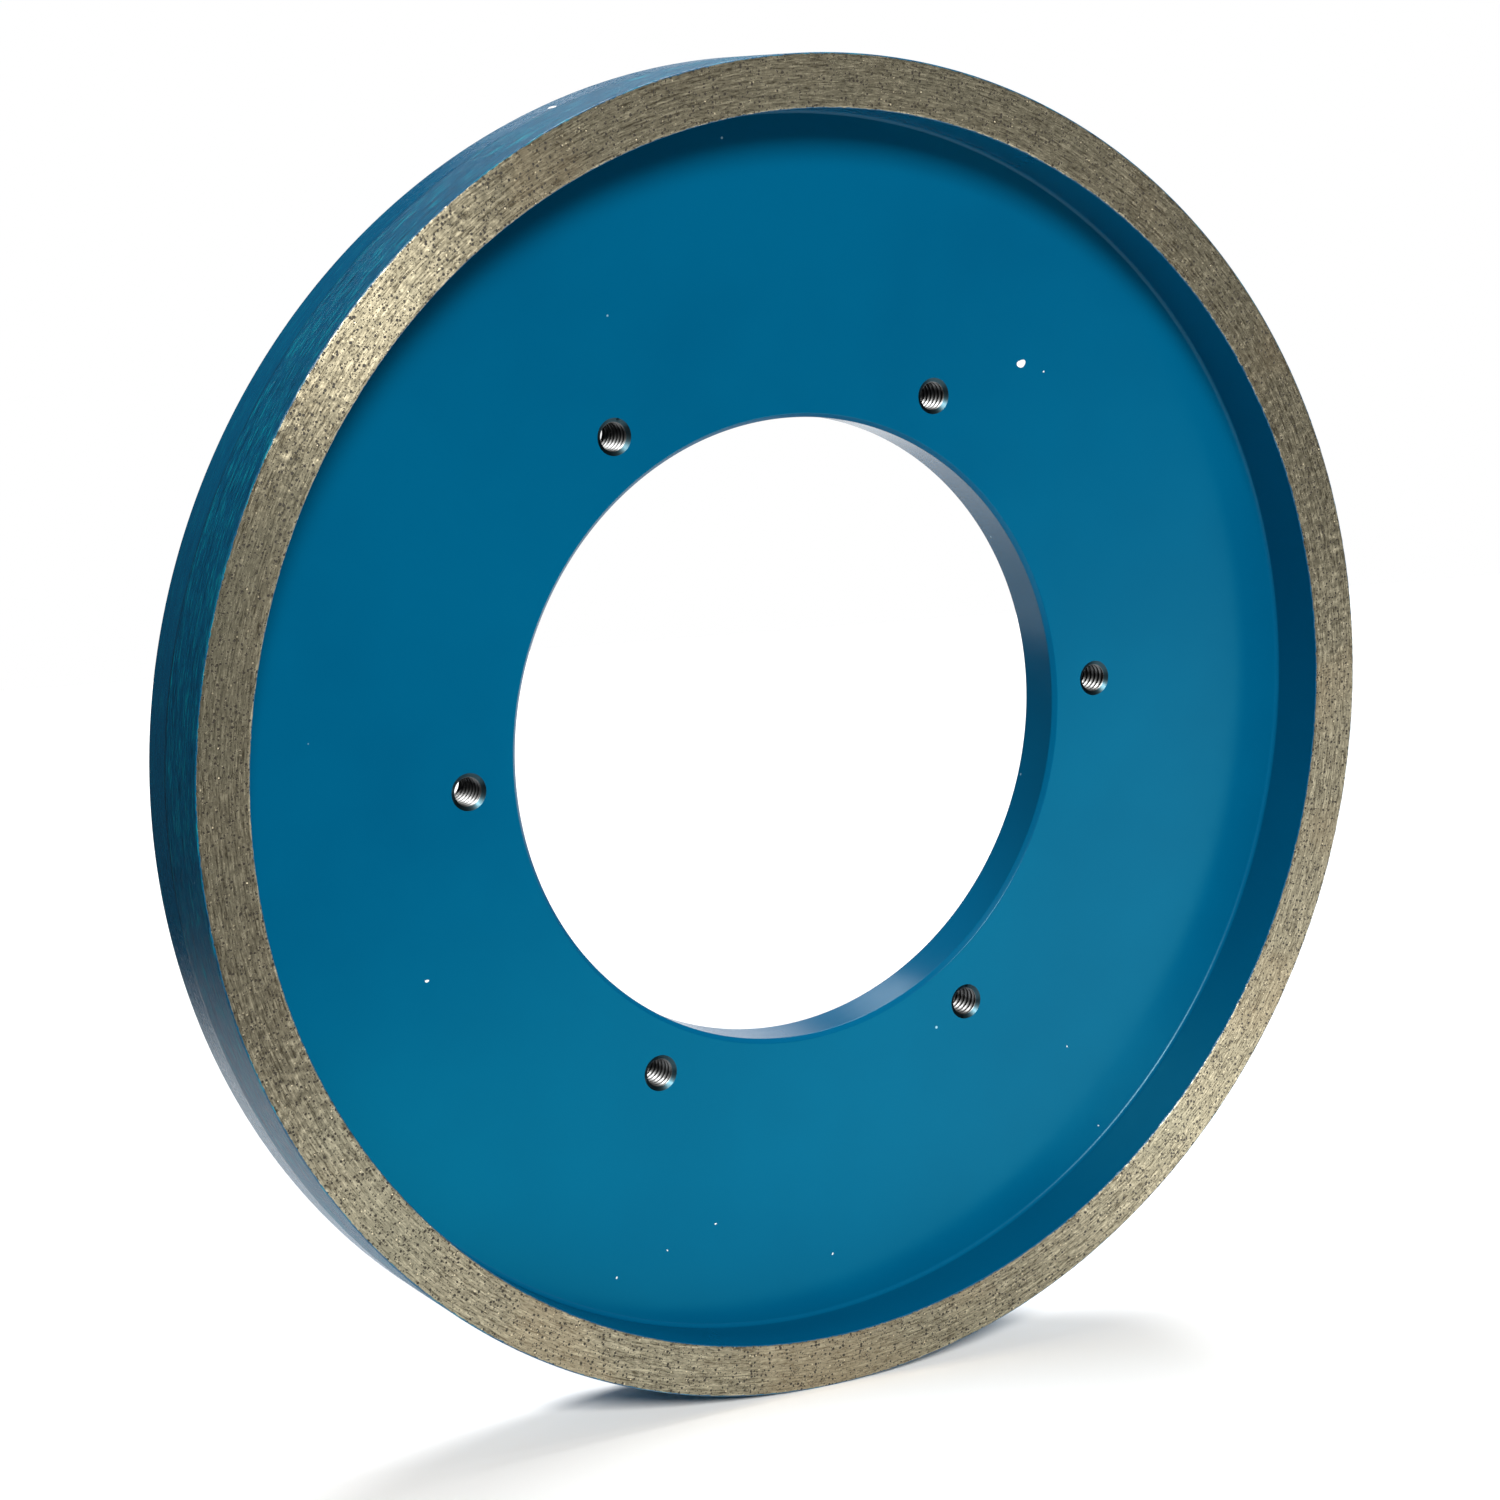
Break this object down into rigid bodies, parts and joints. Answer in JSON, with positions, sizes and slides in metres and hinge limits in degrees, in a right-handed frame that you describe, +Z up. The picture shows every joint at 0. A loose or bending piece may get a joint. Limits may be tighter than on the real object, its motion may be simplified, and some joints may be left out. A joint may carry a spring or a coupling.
{
  "type": "cup-shaped diamond grinding wheel",
  "caption": "Recessed steel wheel with a brazed metal-bond diamond ring on its rim, a wide central bore and a circle of tapped fixing holes.",
  "frame": {"origin": "centre of the wheel, on the bore's axis and halfway through the wheel's thickness", "axes": "+Y along the wheel's axis towards its flat back, so the grinding face looks towards -Y; +Z up"},
  "size_m": [0.254, 0.0226, 0.254],
  "materials": {
    "body_paint": "satin blue paint on turned steel, bare threads",
    "diamond_bond": "ground bronze bond with diamond grit and fine pits, blue paint on its sides",
    "backing_bond": "bronze layer without grit, painted over in blue",
    "braze": "smooth braze fillet, painted over in blue"
  },
  "bodies": {
    "root": {"steel_body": "body_paint", "working_ring": "diamond_bond", "backing_ring": "backing_bond", "braze_joint": "braze"}
  },
  "joints": []
}
